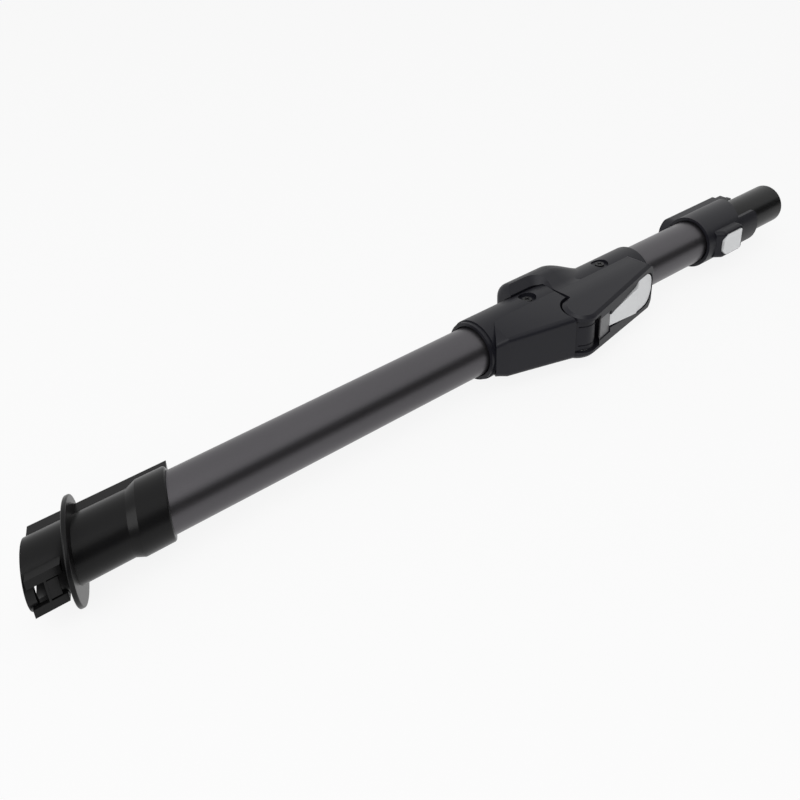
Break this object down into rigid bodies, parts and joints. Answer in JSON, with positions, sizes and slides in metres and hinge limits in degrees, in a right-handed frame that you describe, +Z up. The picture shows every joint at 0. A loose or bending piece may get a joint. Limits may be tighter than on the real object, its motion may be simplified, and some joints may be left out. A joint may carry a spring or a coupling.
{
  "type": "folding vacuum wand",
  "caption": "Straight dark tube wand for an upright vacuum cleaner with a slanted machine connector, a folding elbow with a release lever and a head collar with a button.",
  "frame": {"origin": "where the slanted mouth of the machine-end connector meets the tube axis", "axes": "+X along the tubes towards the floor-head end, +Z up along the elbow's hinge pin as the wand lies on its side, -Y the side towards which the elbow folds, with the lever and button"},
  "size_m": [0.6839, 0.0738, 0.058],
  "materials": {
    "gloss_black": "satin gloss moulding",
    "satin_black": "fine satin moulding",
    "tube_grey": "dark satin anodised",
    "silver": "satin silver paint",
    "plate_grey": "satin moulding",
    "steel": "plain bright",
    "black_steel": "black oxide",
    "brass": "plain",
    "hose_rubber": "matte",
    "bearing_plastic": "natural acetal"
  },
  "bodies": {
    "lower": {"machine_connector": "gloss_black", "machine_contact_block": "satin_black", "machine_contacts": "brass", "long_tube": "tube_grey", "lower_sleeve": "satin_black", "lower_side_cover": "satin_black", "lower_fixing_screws": "black_steel", "lower_hose_cuff": "satin_black", "bellows_hose": "hose_rubber", "hinge_bush": "bearing_plastic", "thrust_washers": "bearing_plastic"},
    "upper": {"hinge_pin": "steel", "upper_hose_cuff": "satin_black", "upper_elbow": "satin_black", "upper_sleeve": "satin_black", "upper_fixing_screws": "black_steel", "latch_cover": "plate_grey", "latch_spring": "steel", "lever_pin": "steel", "lever_spring": "steel", "short_tube": "tube_grey", "head_collar": "satin_black", "head_rail_cover": "satin_black", "head_contact_block": "satin_black", "head_contacts": "brass", "head_spigot": "satin_black", "button_pin": "steel", "button_spring": "steel"},
    "lever": {"release_lever": "silver"},
    "latch": {"latch_slider": "bearing_plastic"},
    "button": {"head_button": "silver"}
  },
  "joints": [
    {"name": "elbow_fold", "type": "hinge", "parent": "lower", "child": "upper", "pos_m": [0.393, -0.032, 0], "axis": [0, 0, -1], "range_deg": [0, 90], "deforming": ["bellows_hose"]},
    {"name": "lever_press", "type": "hinge", "parent": "upper", "child": "lever", "pos_m": [0.42013, -0.03466, 0], "axis": [0, 0, 1], "range_deg": [0, 4], "stiffness_Nm_per_rad": 0.6, "springref_deg": -5.73, "deforming": ["lever_spring"]},
    {"name": "latch_draw", "type": "slide", "parent": "upper", "child": "latch", "axis": [0.9785, 0.2062, 0], "range_m": [0, 0.0012], "deforming": ["latch_spring"]},
    {"name": "button_press", "type": "hinge", "parent": "upper", "child": "button", "pos_m": [0.589, -0.022, 0], "axis": [0, 0, -1], "range_deg": [0, 6], "stiffness_Nm_per_rad": 0.15, "springref_deg": -8.59, "deforming": ["button_spring"]}
  ],
  "couplings": [
    {"joint": "latch_draw", "follows": "lever_press", "m_per_rad": 0.017189}
  ]
}
